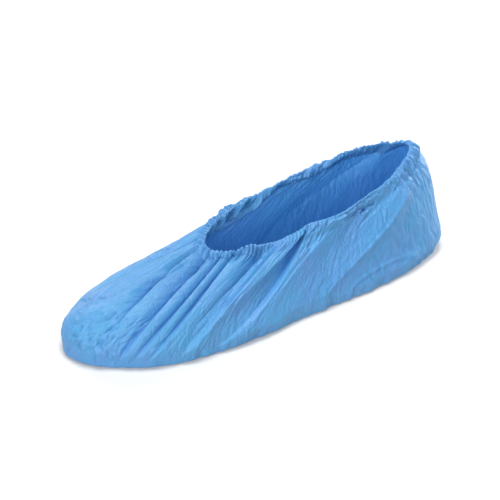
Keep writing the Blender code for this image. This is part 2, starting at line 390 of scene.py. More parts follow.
def room(turns, rises):
    """How wide the film lies at each place, as a share of its width at the rim."""
    ahead, behind = (flow(turns + way * ROOM_STEP, rises) for way in (1, -1))
    spread = (ahead - behind) % 1 / (2 * ROOM_STEP)
    return girth_at(rises) / (RIM_GIRTH * spread + 1e-6)


sample_turns = np.linspace(0, 1, 400, endpoint=False)
sample = fold_height(sample_turns, rises_below_rim(sample_turns, [0.02])) / MM
print(f"folds 20 mm below the rim: {sample.min():.1f} to {sample.max():.1f} mm")

# %% [markdown]
# ## Random swings
# Pleats and wrinkles must look unplanned but come out the same on every run. Blender's
# mathutils.noise gives such values, but one point at a time, and its pattern doesn't
# close up round the cover. A square of seeded random numbers, smoothed between its
# points, takes whole arrays at once, and the same seed gives the same swings. Round the
# cover it repeats, so no seam shows at the heel.

# %% Smooth random values
SQUARE_DEPTH = 97


def wander(x, y, seed, period):
    """Smooth values from -1 to 1, with about one swing for each two units of x or y. They
    repeat after a period of x."""
    grid = np.random.default_rng(seed).uniform(-1, 1, (period, SQUARE_DEPTH))
    x, y = np.broadcast_arrays(x, y)
    i, j = np.floor(x).astype(int), np.floor(y).astype(int)
    u, v = ease(x - i), ease(y - j)
    i, j = np.mod(i, period), np.mod(j, SQUARE_DEPTH)
    k, m = np.mod(i + 1, period), np.mod(j + 1, SQUARE_DEPTH)
    near = grid[i, j] * (1 - u) + grid[k, j] * u
    far = grid[i, m] * (1 - u) + grid[k, m] * u
    return near * (1 - v) + far * v


def swings(around, count, seed, down=0.0, length=1.0):
    """Random swings, count of them round the cover, each this long down the film."""
    return wander(around * count, down / length, seed, count)


sample = swings(sample_turns, 40, 1)
print(f"random swings from {sample.min():.2f} to {sample.max():.2f}")

# %% [markdown]
# ## The gathers under the hem
# The elastic draws the hem together to half its length, so small pleats start at the
# rim and run down into the film. Fine ones die out first and coarse ones run on into
# the big folds. Where the hem is hardly gathered, the film under it is crumpled instead.
# Equal pleats, copied round the rim by an array, would look like a machine's work, so a
# table says how strong they are at each place. Each pleat is round on top with a sharp
# valley at both sides, and all follow the film's fibres, so they bend with the folds.

# %% How the hem is gathered, place by place
FINE_PLEATS = (138, 13)
COARSE_PLEATS = (61, 23)
GATHERS = (
    # pleats round the rim, seed, height in m, full down to, gone by
    (240, 3, 0.0004, 0.009, 0.015),
    (*FINE_PLEATS, 0.0022, 0.006, 0.012),
    (*COARSE_PLEATS, 0.0011, 0.007, 0.014),
    (29, 33, 0.0009, 0.009, 0.019),
)
HEM_TABLE = (
    # turn at the rim, how strong the pleats are, how far they reach, how crumpled it is
    (0.00, 0.7, 0.7, 0.3),
    (0.07, 0.6, 0.6, 0.6),
    (0.11, 0.4, 0.4, 1.0),
    (0.27, 0.4, 0.4, 1.0),
    (0.32, 0.7, 0.7, 0.5),
    (0.38, 1.0, 1.0, 0.1),
    (0.50, 1.0, 1.0, 0.0),
    (0.59, 1.0, 1.0, 0.0),
    (0.62, 0.5, 0.4, 0.4),
    (0.65, 0.5, 0.4, 0.5),
    (0.675, 1.1, 0.6, 0.5),
    (0.70, 0.5, 0.4, 0.9),
    (0.75, 0.2, 0.4, 1.1),
    (0.87, 0.2, 0.4, 1.1),
    (0.91, 0.9, 0.7, 0.7),
    (0.96, 1.0, 0.8, 0.3),
    (1.00, 0.7, 0.7, 0.3),
)


def hem_state(around):
    """(strength, reach, crumple) of the gathers at these turns of the rim."""
    return np.moveaxis(smooth(HEM_TABLE, np.mod(around, 1)), -1, 0)


print("pleats round the rim:", ", ".join(str(row[0]) for row in GATHERS))

# %% Fibres of the film, from the hem down
HEM_HEIGHT = 0.009
HEM_FOOT_STEPS = 3000
JUST_BELOW_RIM = 0.98


def lean(turns):
    """How far a line of one turn drifts along the rim for each metre below it, in turns."""
    ones = np.ones((1, len(turns)))
    down = unit(smooth_film(turns, ones * JUST_BELOW_RIM) - smooth_film(turns, ones))[0]
    ahead = unit(walk(RIM, turns + SLOPE_STEP) - walk(RIM, turns - SLOPE_STEP))
    return (down * ahead).sum(axis=1) / RIM_GIRTH


foot_turns = np.linspace(0, 0.99999, HEM_FOOT_STEPS)
FOOT_FLOW = flow(foot_turns, rises_below_rim(foot_turns, [HEM_HEIGHT]))[0]
FOOT_FIBRE = foot_turns + lean(foot_turns) * HEM_HEIGHT


def fibre(turns, rises):
    """The turn of the rim at which the fibre through each place would end if it stood
    upright in the hem. Below the hem it follows the big folds."""
    below = np.interp(flow(turns, rises), FOOT_FLOW, FOOT_FIBRE)
    down = below_rim(turns, rises)
    return np.mod(np.where(down <= HEM_HEIGHT, turns + lean(turns) * down, below), 1)


strays = np.abs(FOOT_FIBRE - foot_turns) * RIM_GIRTH / MM
print(f"fibres lean by up to {strays.max():.1f} mm within the hem")

# %% Pleats
PLEAT_STRAYS = 0.5
PLEAT_STRAY_LENGTH = 0.030
PLEAT_CHANGE = 1.7
PLEAT_CHANGE_LENGTH = 0.045
PLEAT_FULLNESS = 1.2
THINNEST_PLEAT = 0.1
PLEAT_ROUNDNESS = 0.7
PLEAT_MIDDLE = 0.38
PLEAT_END_STRAYS, END_SEED = 0.5, 40
FOLDS_TAKE_OVER = 0.006
CROWDING = 1.5


def pleats(around, down, count, seed, uneven=0.6):
    """Pleats from 0 in their sharp valleys to about 1 on top: count of them in a turn."""
    place = around * count
    stray = wander(place / 2, down / PLEAT_STRAY_LENGTH, seed, count // 2)
    place = place + PLEAT_STRAYS * stray
    period = int(count / PLEAT_CHANGE)
    change = wander(place / PLEAT_CHANGE, down / PLEAT_CHANGE_LENGTH, seed + 1, period)
    amount = np.clip(PLEAT_FULLNESS - uneven + uneven * change, THINNEST_PLEAT, None)
    return amount * np.abs(np.sin(np.pi * place)) ** PLEAT_ROUNDNESS


def gather_height(turns, rises):
    """How far the gathers lift the film, in metres."""
    around = fibre(turns, rises)
    down = below_rim(turns, rises)
    strength, reach, _ = hem_state(around)
    below = ease((down - HEM_HEIGHT) / FOLDS_TAKE_OVER)
    width = np.clip(room(turns, rises), 0, 1) ** CROWDING
    strength = strength * (1 - below + below * width)
    height = np.zeros(rises.shape)
    for k, (count, seed, lift, full, gone) in enumerate(GATHERS):
        swing = swings(around, count, END_SEED + k)
        far = gone * reach * (1 + PLEAT_END_STRAYS * swing)
        fade = ease((far - down) / (gone - full))
        pleated = pleats(around, down, count, seed) - PLEAT_MIDDLE
        height += lift * fade * strength * pleated
    return height


sample = gather_height(sample_turns, rises_below_rim(sample_turns, [0.004])) / MM
print(f"gathers 4 mm below the rim: {sample.min():.1f} to {sample.max():.1f} mm")

# %% Crumples
CRUMPLES = (
    # swings round the rim, length down the film in m, seed, height in m
    (44, 0.0085, 51, 0.0022),
    (96, 0.0040, 52, 0.0007),
)
CRUMPLE_TOP = 0.5
CRUMPLE_SINK = 0.0006
CRUMPLES_GONE = 0.024
CRUMPLES_FADE = 0.010


def crumple_height(turns, rises):
    """How far the crumples under the hem lift the film, in metres."""
    around = fibre(turns, rises)
    down = below_rim(turns, rises)
    _, _, crumple = hem_state(around)
    height = 0
    for count, length, seed, lift in CRUMPLES:
        swing = np.abs(swings(around, count, seed, down, length))
        height = height + lift * np.minimum(swing, CRUMPLE_TOP)
    zone = crumple * ease((CRUMPLES_GONE - down) / CRUMPLES_FADE)
    return zone * (height - CRUMPLE_SINK)


# %% The rim's own line
RIM_LIFT = (
    # turn at the rim, lift in mm
    (0.00, -3.0), (0.03, -3.0), (0.10, -0.5), (0.25, 0.5), (0.36, 2.0),
    (0.42, 3.0), (0.47, 2.0), (0.51, 0.5), (0.55, 0.3), (0.575, 1.2),
    (0.60, -1.5), (0.62, -3.0), (0.645, -2.0), (0.665, -1.5), (0.69, 1.2),
    (0.74, 0.0), (0.80, -1.5), (0.88, -1.8), (0.95, -1.0), (0.98, -2.5),
    (1.00, -3.0),
)
RIM_LIFT_FROM = 0.35


def rim_lift(turns, rises):
    """The rise and dip of the rim, which the film below shares less and less."""
    lift = MM * smooth(RIM_LIFT, np.mod(flow(turns, rises), 1))[..., 0]
    return lift * ease((rises - RIM_LIFT_FROM) / (1 - RIM_LIFT_FROM))


lifts = [lift for _, lift in RIM_LIFT]
print(f"the rim runs from {min(lifts)} to {max(lifts)} mm off its smooth line")

# %% [markdown]
# ## Puffs, creases and veins
# Three kinds of smaller relief finish the film. *Puffs* are broad soft swellings, such
# as the heel, where the bag stands off the shoe. *Creases* are single kinks with a lip,
# such as the tucks under the hem. *Veins* are hundreds of short fine wrinkles, mostly
# upright, that thin film takes wherever it has been crushed. Sculpting brushes would make
# them one stroke at a time. Here the few with a place of their own are written down, and
# the many are strewn over patches by seeded numbers.

# %% Puffs
PUFFS = (
    # turn, rise, half_turn, half_rise, height in mm
    (0.985, 0.80, 0.030, 0.18, 0.4),
    (0.000, 0.50, 0.040, 0.25, -0.9),
    (0.965, 0.45, 0.030, 0.20, -1.6),
    (0.980, 0.06, 0.030, 0.10, 3.2),
    (0.920, 0.05, 0.040, 0.12, 3.2),
    (0.705, 0.04, 0.035, 0.10, 3.0),
    (0.770, 0.03, 0.050, 0.10, 1.2),
    (0.850, 0.03, 0.040, 0.10, 1.8),
    (0.580, 0.04, 0.060, 0.10, 0.8),
    (0.775, 0.36, 0.130, 0.32, -5.5),
    (0.640, 0.25, 0.030, 0.25, 0.8),
    (0.520, 0.36, 0.030, 0.14, 2.4),
    (0.485, 0.28, 0.030, 0.20, -0.9),
)
PUFFS_BEGIN = 0.07


def puff_height(turns, rises):
    height = np.zeros(rises.shape)
    for turn, rise, half_turn, half_rise, lift in PUFFS:
        off = past(turns, turn) / half_turn
        height += lift * MM * np.exp(-(off**2) - ((rises - rise) / half_rise) ** 2)
    return height * ease(rises / PUFFS_BEGIN)


print(f"{len(PUFFS)} puffs and hollows")

# %% Where the creases run
CREASES = (
    # depth in mm, half_width in mm, then the (rise, turn) of its points
    # tucks and zigzags under the hem, towards the heel
    (1.6, 1.1, (0.84, 0.798), (0.875, 0.807), (0.86, 0.815), (0.80, 0.828)),
    (1.5, 1.1, (0.80, 0.818), (0.84, 0.833), (0.81, 0.845)),
    (1.4, 1.1, (0.88, 0.770), (0.86, 0.781), (0.885, 0.790)),
    # the long crease over the toe, and the star of creases at its foot
    (
        2.0, 2.2, (0.34, 0.469), (0.44, 0.484), (0.505, 0.4945),
        (0.65, 0.493), (0.78, 0.492), (0.90, 0.488),
    ),
    (1.4, 1.0, (0.345, 0.470), (0.40, 0.492)),
    (1.3, 1.0, (0.335, 0.471), (0.365, 0.488)),
    (1.3, 1.0, (0.32, 0.470), (0.33, 0.483)),
    # short tucks under the hem
    (1.0, 1.3, (0.83, 0.781), (0.83, 0.792)),
    (0.6, 1.3, (0.82, 0.846), (0.74, 0.853), (0.66, 0.863)),
    (1.2, 1.8, (0.90, 0.701), (0.91, 0.710), (0.83, 0.726), (0.79, 0.733)),
    (1.4, 1.4, (0.90, 0.925), (0.81, 0.934), (0.73, 0.940)),
    (1.0, 1.2, (0.92, 0.942), (0.82, 0.949)),
    (0.9, 1.2, (0.90, 0.955), (0.81, 0.959)),
    (0.9, 1.2, (0.88, 0.912), (0.80, 0.920)),
    # the arch of creases low on the heel, and the short ones round it
    (
        -0.5, 0.8, (0.13, 0.895), (0.145, 0.886), (0.15, 0.868),
        (0.14, 0.850), (0.11, 0.832), (0.07, 0.822),
    ),
    (
        0.5, 0.8, (0.105, 0.897), (0.12, 0.886), (0.125, 0.868),
        (0.115, 0.850), (0.085, 0.834), (0.045, 0.825),
    ),
    (0.5, 0.9, (0.24, 0.893), (0.16, 0.900)),
    (0.5, 0.9, (0.20, 0.903), (0.15, 0.893), (0.11, 0.897)),
    (0.7, 0.8, (0.09, 0.868), (0.04, 0.874)),
    (0.9, 0.9, (0.10, 0.793), (0.05, 0.795)),
    (0.7, 0.8, (0.10, 0.848), (0.04, 0.852)),
    # zigzags right under the hem
    (
        1.1, 0.8, (0.955, 0.742), (0.935, 0.755), (0.950, 0.764),
        (0.930, 0.775), (0.945, 0.786),
    ),
    (1.1, 0.8, (0.935, 0.792), (0.950, 0.803), (0.930, 0.812), (0.915, 0.822)),
    (1.1, 0.8, (0.940, 0.826), (0.915, 0.838), (0.930, 0.848), (0.900, 0.856)),
    # creases on the banks between the toe's folds
    (2.2, 1.0, (0.93, 0.521), (0.80, 0.531), (0.68, 0.538)),
    (1.2, 0.9, (0.92, 0.563), (0.84, 0.570)),
    (1.8, 1.0, (0.93, 0.570), (0.85, 0.5755)),
    (1.4, 0.9, (0.86, 0.505), (0.76, 0.508), (0.66, 0.510)),
    # two short ones above the long fold at the side
    (0.8, 0.9, (0.82, 0.707), (0.75, 0.712), (0.70, 0.714)),
    (0.7, 0.9, (0.84, 0.717), (0.75, 0.723), (0.70, 0.726)),
)
print(f"{len(CREASES)} creases")

# %% From a crease's points to a groove with a lip
LIP_OFF = 1.8
LIP_HALF_WIDTH = 1.2
LIP_HEIGHT = 0.45


def off_segment(across, up, start, end):
    """How far places lie from a segment, on which side, and the share of the way along."""
    run = np.array(end) - start
    length = float(run @ run) + 1e-12
    past_x, past_y = across - start[0], up - start[1]
    share = np.clip((past_x * run[0] + past_y * run[1]) / length, 0, 1)
    off = np.hypot(past_x - share * run[0], past_y - share * run[1])
    return off, np.sign(past_x * run[1] - past_y * run[0]), share


def crease_height(turns, rises):
    """Grooves with a lip on one side; a depth below zero is a ridge."""
    height = np.zeros(rises.shape)
    speed = rim_speed(turns)[0]
    for depth, half_width, *points in CREASES:
        middle_rise, middle = points[len(points) // 2]
        around = girth_at(middle_rise)
        tall = float(np.interp(middle, turns, speed))
        across, up = past(turns, middle) * around + 0 * rises, rises * tall
        flat = [np.array(((turn - middle) * around, rise * tall)) for rise, turn in points]
        nearest, which = np.full(rises.shape, 1.0), np.zeros(rises.shape)
        for start, end in zip(flat, flat[1:]):
            off, side, _ = off_segment(across, up, start, end)
            which = np.where(off < nearest, side, which)
            nearest = np.minimum(nearest, off)
        widths = nearest / (half_width * MM)
        lip = bell((widths * which - LIP_OFF) / LIP_HALF_WIDTH)
        height += MM * depth * (LIP_HEIGHT * lip - bell(widths))
    return height


# %% Where the veins are strewn
VEIN_PATCHES = (
    # turn, rise, half_turn, half_rise, how many, longest in mm, height in mm
    (0.500, 0.35, 0.500, 0.30, 500, 14, 0.25),
    (0.525, 0.20, 0.030, 0.20, 110, 16, 1.15),
    (0.500, 0.42, 0.014, 0.08, 16, 12, 1.10),
    (0.655, 0.25, 0.035, 0.22, 100, 17, 0.38),
    (0.790, 0.40, 0.030, 0.30, 90, 16, 0.36),
    (0.880, 0.33, 0.035, 0.25, 130, 17, 0.55),
    (0.945, 0.40, 0.035, 0.35, 130, 15, 0.40),
)
print(f"{sum(patch[4] for patch in VEIN_PATCHES)} veins")

# %% Veins
VEIN_SEED = 7
VEIN_HALF_WIDTH = 0.0010
VEIN_MARGIN = 0.004
VEIN_TILT = 0.5
VEIN_RISES = (0.02, 0.9)
VEIN_ENDS = (0.08, 0.92)
SHORTEST, FAINTEST = 0.35, 0.4


def vein_height(turns, rises):
    """Short upright wrinkles, strewn over the patches."""
    rng = np.random.default_rng(VEIN_SEED)
    height = np.zeros(rises.shape)
    speed = rim_speed(turns)[0]
    for turn, rise, half_turn, half_rise, count, longest, lift in VEIN_PATCHES:
        for _ in range(count):
            t = (turn + half_turn * rng.uniform(-1, 1)) % 1
            r = rise + half_rise * rng.uniform(-1, 1)
            r = float(np.clip(r, *VEIN_RISES))
            half = 0.5 * MM * longest * rng.uniform(SHORTEST, 1)
            tilt = rng.normal(0, VEIN_TILT)
            push = MM * lift * rng.uniform(FAINTEST, 1) * rng.choice((-1, 1))
            around, tall = girth_at(r), float(np.interp(t, turns, speed))
            off_turn = past(turns, t)
            columns = np.where(np.abs(off_turn) * around < half + VEIN_MARGIN)[0]
            off_rise = rises[:, columns[len(columns) // 2]] - r
            rows = np.where(np.abs(off_rise) * tall < half + VEIN_MARGIN)[0]
            if not len(rows):
                continue
            window = np.ix_(rows, columns)
            across = off_turn[columns][None, :] * around + 0 * rises[window]
            up = (rises[window] - r) * tall
            end = half * np.array((math.sin(tilt), math.cos(tilt)))
            off, _, share = off_segment(across, up, -end, end)
            along = np.sin(np.pi * np.clip(share, *VEIN_ENDS))
            height[window] += push * bell(off / VEIN_HALF_WIDTH) * along
    return height


# %% Unevenness of the whole film
TAUT_PANEL = (0.562, 0.045, 0.08, 0.25)
CALM_PANEL = (0.83, 0.09, 0.40, 0.25)
TAUT_SHARE = 0.75
CALM_SHARE = 0.55
SWELL_LENGTH = 0.010
SWELL_BEGINS = 0.12
# (swings round the cover, seed), height in m, length in swells
BROAD, BROAD_HEIGHT, BROAD_LENGTH = (40, 71), 0.00060, 3.0
MIDDLING, MIDDLING_HEIGHT = (96, 72), 0.00060
CRINKLES = (
    # swings round the cover, swings in a swell's length, seed, how far the wrinkles one
    # size up bend these, height in m
    (170, 1.3, 73, 0.8, 0.00060),
    (300, 2.3, 74, 0.9, 0.00045),
)


def panel(turns, rises, turn, half_turn, low, fade):
    """1 in a panel round a turn that starts above a low rise, 0 outside it."""
    return bell((turns - turn) / half_turn) * ease((rises - low) / fade)


def swell_height(turns, rises):
    """Broad and middling unevenness, so that no panel between folds is quite even."""
    around = flow(turns, rises)
    up = (rises * rim_speed(turns)) / SWELL_LENGTH
    broad = swings(around, *BROAD, up, BROAD_LENGTH)
    last = np.abs(swings(around, *MIDDLING, up))
    crinkle = MIDDLING_HEIGHT * last
    for count, rate, seed, bend, height in CRINKLES:
        last = np.abs(wander(turns * count + bend * last, up * rate, seed, count))
        crinkle = crinkle + height * last
    crinkle = crinkle * (1 - CALM_SHARE * panel(turns, rises, *CALM_PANEL))
    taut = 1 - TAUT_SHARE * panel(turns, rises, *TAUT_PANEL)
    return (BROAD_HEIGHT * broad + crinkle) * ease(rises / SWELL_BEGINS) * taut


# %% All of it together, but for the veins
def relief(turns, rises):
    """How far the film stands off its smooth form, in metres."""
    return (
        fold_height(turns, rises)
        + gather_height(turns, rises)
        + crumple_height(turns, rises)
        + puff_height(turns, rises)
        + crease_height(turns, rises)
        + swell_height(turns, rises)
    )


# %% [markdown]
# ## The bag of film
# The bag could be two thin walls, but real film is a thirtieth of a millimetre thick, so
# one open sheet is nearer the truth, and both of its faces show. Its columns crowd
# round the toe, where the folds are closest. It starts with the flat sole, turns up
# through a small corner, and ends inside the hem.
#
# In narrow valleys the colour is a deeper blue, partly because film lies double there and
# partly as painted shade. On the long banks of the folds over the toe the deeper blue is
# painted shade. The mesh marks these places by an attribute, a number at each of its
# points, and the material reads it later. A painted picture would need unwrapping.

# %% Columns, closer together round the toe
COLUMNS = 840
ROWS = 96
FILM_BELOW_RIM = 0.0072
TOE_DENSITY = 0.7
TOE_SPREAD = 0.14
CROWDED_TURNS = (0.55, 0.45)
TURN_STEPS = 2881


def column_turns(count):
    """Turns for the columns of a sheet, closer together round the toe."""
    turns = np.linspace(0, 1, TURN_STEPS)
    crowd = np.ones(TURN_STEPS)
    for middle in CROWDED_TURNS:
        crowd += TOE_DENSITY * bell((turns - middle) / TOE_SPREAD)
    run = np.concatenate([[0], np.cumsum((crowd[1:] + crowd[:-1]) / 2)])
    return np.interp(np.arange(count) / count, run / run[-1], turns)


turns = column_turns(COLUMNS)
steps = np.diff(turns) * SOLE_GIRTH / MM
print(f"columns {steps.min():.2f} to {steps.max():.2f} mm apart round the sole")

# %% Where the film is marked a deeper blue, for film lying double and painted shade
VALLEY_REACH = (-9, -5, 5, 9)
VALLEY_LOW = 0.0007
VALLEY_FADE = 0.0026
BANK_LOW = 0.0025
BANK_FADE = 0.0045
BANK_TURN = 0.54
BANK_HALF_TURN = 0.10
BANK_ROUNDNESS = 1.5


def valley_shade_and_doubling(lift):
    """1 in the narrow dips between folds and pleats, 0 on the open film: where the colour
    goes a deeper blue, partly for film lying double and partly as painted shade.
    """
    beside = sum(np.roll(lift, step, axis=1) for step in VALLEY_REACH) / len(VALLEY_REACH)
    return ease((beside - lift - VALLEY_LOW) / VALLEY_FADE)


def painted_bank_shade(turns, rises):
    """1 at the foot of the long bank that goes down into each deep fold over the toe, where
    the colour is darkened as painted shade.
    """
    before, share = between_lines(turns, rises)
    depth = -pick(line_heights(rises), before + 1)
    over_toe = bell((turns - BANK_TURN) / BANK_HALF_TURN)
    return share**BANK_ROUNDNESS * ease((depth - BANK_LOW) / BANK_FADE) * over_toe


# %% Meshes from rows of points
def mesh_piece(name, points, faces, shade_and_doubling=None):
    """A smooth-shaded object from rows of points and faces, with the places of painted
    shade and of film lying double marked.
    """
    mesh = bpy.data.meshes.new(name)
    mesh.from_pydata(points.reshape(-1, 3).tolist(), [], faces)
    mesh.shade_smooth()
    if shade_and_doubling is not None:
        marks = mesh.attributes.new("shade_and_doubling", "FLOAT", "POINT")
        marks.data.foreach_set("value", shade_and_doubling.astype(np.float32).ravel())
    piece = bpy.data.objects.new(name, mesh)
    bpy.context.scene.collection.objects.link(piece)
    print(f"{name}: {sum(len(face) - 2 for face in faces)} triangles")
    return piece


def ring_faces(rings, columns):
    """Quads between closed rings of points."""
    i, j = np.meshgrid(np.arange(rings - 1), np.arange(columns), indexing="ij")
    here, above, k = i * columns, (i + 1) * columns, (j + 1) % columns
    corners = np.stack([here + j, here + k, above + k, above + j], axis=-1)
    return corners.reshape(-1, 4).tolist()


# %% The sole and its corner
SPINE_FROM_TOE = 0.045
SPINE_FROM_HEEL = 0.040
SOLE_SHARES = (0.96, 0.84, 0.70, 0.55, 0.40, 0.27, 0.16, 0.07, 0.02)
CORNER_ROWS = 7
CORNER_ROUNDNESS = 0.6
TUCKS = (
    # swings round the sole, seed, height in m
    (150, 81, 0.0006),
    (60, 82, 0.0005),
)
TUCKS_AT_EDGE = 1.5

foot = walk(SOLE, turns)
out = plan_normal(turns)
spine = np.zeros((COLUMNS, 3))
spine[:, 0] = np.clip(foot[:, 0], SPINE_FROM_TOE - LENGTH / 2, LENGTH / 2 - SPINE_FROM_HEEL)
spine[:, 2] = -WALL
spine = bent(spine, SOLE_SKEW)
edge = foot - out * SOLE_CORNER - (0, 0, SOLE_CORNER)
rings = [edge + (spine - edge) * share for share in SOLE_SHARES]

tuck = sum(height * swings(turns, count, seed) for count, seed, height in TUCKS)
tuck = tuck * TUCKS_AT_EDGE
for angle in np.linspace(0, math.pi / 2, CORNER_ROWS + 1)[:-1]:
    inset = SOLE_CORNER * (1 - math.sin(angle) ** CORNER_ROUNDNESS)
    below = SOLE_CORNER * math.cos(angle) ** CORNER_ROUNDNESS
    ring = foot - out * (inset - tuck[:, None] * math.sin(angle))
    rings.append(ring - (0, 0, below))
print(f"{len(rings)} rings from the middle of the sole to the wall")

# %% The wall, with its relief
TUCKS_GONE = 0.10

rises = np.linspace(0, 1, ROWS)[:, None] * rises_below_rim(turns, [FILM_BELOW_RIM])
lift = relief(turns, rises)
# painted shade: valleys are marked for film lying double and for shade, the banks over the
# toe for shade alone
shade_and_doubling = np.maximum(valley_shade_and_doubling(lift), painted_bank_shade(turns, rises))
shade_and_doubling = np.concatenate([np.zeros((len(rings), COLUMNS)), shade_and_doubling])
lift += vein_height(turns, rises) + tuck * (1 - ease(rises / TUCKS_GONE))
wall = smooth_film(turns, rises) + normals(turns, rises)[0] * lift[:, :, None]
wall[:, :, 2] += rim_lift(turns, rises)
points = np.concatenate([np.array(rings), wall])
points[:, :, 2] = np.maximum(points[:, :, 2], -WALL)
print(f"relief from {lift.min() / MM:.1f} to {lift.max() / MM:.1f} mm")

# %% The sheet
half = COLUMNS // 2
faces = ring_faces(len(points), COLUMNS)
faces += [(i, COLUMNS - i, COLUMNS - i - 1, i + 1) for i in range(1, half - 1)]
faces += [(0, COLUMNS - 1, 1), (half - 1, half + 1, half)]
film = mesh_piece("film_sheet", points, faces, shade_and_doubling)
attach(film, "root")
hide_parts("film_body")

# %% [markdown]
# ## The hem
# The film's edge is folded over the elastic and sealed to itself some 9 mm below the
# rim, which makes a small soft tube. The elastic draws the tube up into ruffles. A curve
# with a bevel would give a smooth tube only, so its section is drawn as points round the
# film's edge, and the ruffles swell it, pinch it and make the rim wavy. They come from
# the same pleats as the gathers below, so each ruffle runs on into the film.

# %% The hem's section and its ruffles
HEM_SECTION = (
    # distance below the rim in mm, out from the film in mm
    (9.4, 0.20), (8.8, 0.30), (8.0, 0.45), (7.0, 0.70), (5.9, 0.85), (4.6, 0.95),
    (3.2, 0.90), (1.9, 0.70), (0.8, 0.40), (0.1, 0.05), (0.8, -0.35), (1.9, -0.60),
    (3.2, -0.72), (4.6, -0.75), (5.9, -0.65), (7.0, -0.50), (8.0, -0.35), (8.8, -0.25),
)
RUFFLE_UNEVEN = 0.35
RUFFLE_HEIGHT, RUFFLE_COARSE, RUFFLE_CRUSHED = 0.0022, 0.3, 0.6
SCALLOP_HEIGHT, SCALLOP_COARSE, SCALLOP_CRUSHED = 0.0010, 0.4, 0.5
SCALLOP_MIDDLE = 0.6
SCALLOPS_GONE = 0.008
# (swings round the rim, seed), length or height in m
CRUSH, CRUSH_LENGTH = (56, 53), 0.0040
SLOW, SLOW_WAVE = (34, 35), 0.0009


def hem_points(turns, downs, outs, swelling):
    """Rows of points these distances below the rim and out from the film's middle, and how
    far down in a dip each one lies, which marks where the colour goes a deeper blue, for
    film lying double and as painted shade."""
    down, outward = np.array(downs)[:, None], np.array(outs)[:, None]
    rises = rises_below_rim(turns, downs)
    around = fibre(turns, rises)
    strength, _, crumple = hem_state(around)
    fine = pleats(around, down, *FINE_PLEATS, RUFFLE_UNEVEN)
    coarse = pleats(around, down, *COARSE_PLEATS)
    crushed = crumple * np.abs(swings(around, *CRUSH, down, CRUSH_LENGTH))
    ruffle = strength * (fine + RUFFLE_COARSE * coarse) + RUFFLE_CRUSHED * crushed
    lift = relief(turns, rises) + RUFFLE_HEIGHT * ruffle * np.array(swelling)[:, None]
    points = smooth_film(turns, rises)
    points += normals(turns, rises)[0] * (lift + outward)[:, :, None]

    scallop = strength * (fine + SCALLOP_COARSE * coarse - SCALLOP_MIDDLE)
    scallop = SCALLOP_HEIGHT * (scallop + SCALLOP_CRUSHED * crushed)
    wave = scallop + SLOW_WAVE * swings(around, *SLOW)
    points[:, :, 2] += rim_lift(turns, rises) + wave * ease(1 - down / SCALLOPS_GONE)
    return points, valley_shade_and_doubling(lift)


# %% The hem's mesh
HEM_COLUMNS = 1200
HEM_ROWS = 31
FULL_SWELLING = 0.0010

stations = np.arange(len(HEM_SECTION))
along = np.linspace(0, stations[-1], HEM_ROWS)
downs, outs = (np.interp(along, stations, column) * MM for column in zip(*HEM_SECTION))
swelling = np.clip(outs / FULL_SWELLING, -1, 1)
hem_turns = column_turns(HEM_COLUMNS)
# the dips between ruffles are marked for film lying double and for painted shade
points, shade_and_doubling = hem_points(hem_turns, downs, outs, swelling)
hem = mesh_piece("hem_ruffle", points, ring_faces(len(points), HEM_COLUMNS), shade_and_doubling)
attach(hem, "root")
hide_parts("hem_casing")

# %% [markdown]
# ## The elastic
# A flat closed loop of elastic lies in the hem and draws it together. Nothing of it
# shows, so it is one plain band. It could be a curve with a bevel, but a second, smaller
# section in the same place as the hem's follows every fold of the hem, and stays inside.

# %% The elastic inside the hem
ELASTIC_SECTION = (
    # distance below the rim in mm, out from the film in mm
    (5.9, 0.30), (4.6, 0.32), (3.2, 0.30), (3.2, -0.15),
    (4.6, -0.17), (5.9, -0.15), (5.9, 0.30),
)
downs, outs = (np.array(column) * MM for column in zip(*ELASTIC_SECTION))
points, _ = hem_points(hem_turns, downs, outs, np.zeros(len(downs)))
elastic = mesh_piece("elastic_loop", points, ring_faces(len(points), HEM_COLUMNS))
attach(elastic, "root")
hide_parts("elastic_band")

# %% [markdown]
# ## Finishes
# A finish is a small net of nodes. It could be clicked together in the shader editor,
# but sums of patterns are easier to read as plain Python. The class below wraps a
# socket, and an expression on it adds the nodes.


# %% Shader maths as Python
class Wire:
    """A value that runs through a material's nodes."""

    def __init__(self, tree, socket):
        self.tree = tree
        self.socket = socket

    def other(self, name):
        """The output of this name on the same node."""
        return Wire(self.tree, self.socket.node.outputs[name])

    def maths(self, operation, other, swapped=False):
        node = self.tree.nodes.new("ShaderNodeMath")
        node.operation = operation
        pair = (other, self) if swapped else (self, other)
        for slot, value in zip(node.inputs, pair):
            plug(self.tree, slot, value)
        return Wire(self.tree, node.outputs[0])

    def __add__(self, other):
        return self.maths("ADD", other)

    def __radd__(self, other):
        return self.maths("ADD", other, True)

    def __sub__(self, other):
        return self.maths("SUBTRACT", other)

    def __rsub__(self, other):
        return self.maths("SUBTRACT", other, True)

    def __mul__(self, other):
        return self.maths("MULTIPLY", other)

    def __rmul__(self, other):
        return self.maths("MULTIPLY", other, True)

    def __abs__(self):
        return self.maths("ABSOLUTE", 0.0)


def plug(tree, slot, value):
    """Gives a socket its value, or links the wire that brings it."""
    if isinstance(value, Wire):
        tree.links.new(value.socket, slot)
    else:
        slot.default_value = value


